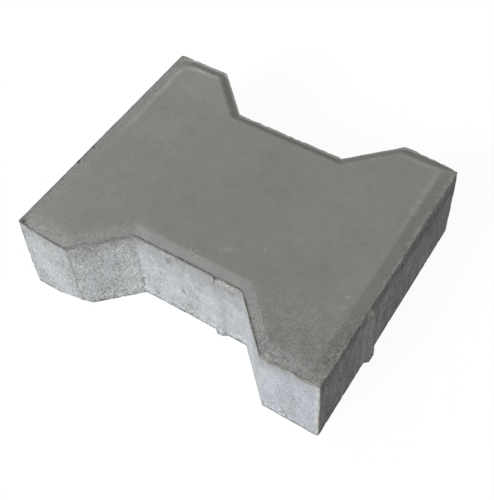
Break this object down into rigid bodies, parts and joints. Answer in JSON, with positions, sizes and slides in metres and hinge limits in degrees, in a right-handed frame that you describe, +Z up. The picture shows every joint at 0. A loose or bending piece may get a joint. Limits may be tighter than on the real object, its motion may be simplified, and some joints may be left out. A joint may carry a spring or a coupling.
{
  "type": "concrete paving stone",
  "caption": "Double-T concrete paving stone whose heads lock into the waists of its neighbours, with a bevelled wearing face and spacer ribs on its walls.",
  "frame": {"origin": "middle of the underside", "axes": "+X along the stem from head to head, +Y across the heads, +Z up to the wearing face"},
  "size_m": [0.205, 0.165, 0.06],
  "materials": {
    "concrete": "matte"
  },
  "bodies": {
    "root": {"paving_stone": "concrete"}
  },
  "joints": []
}
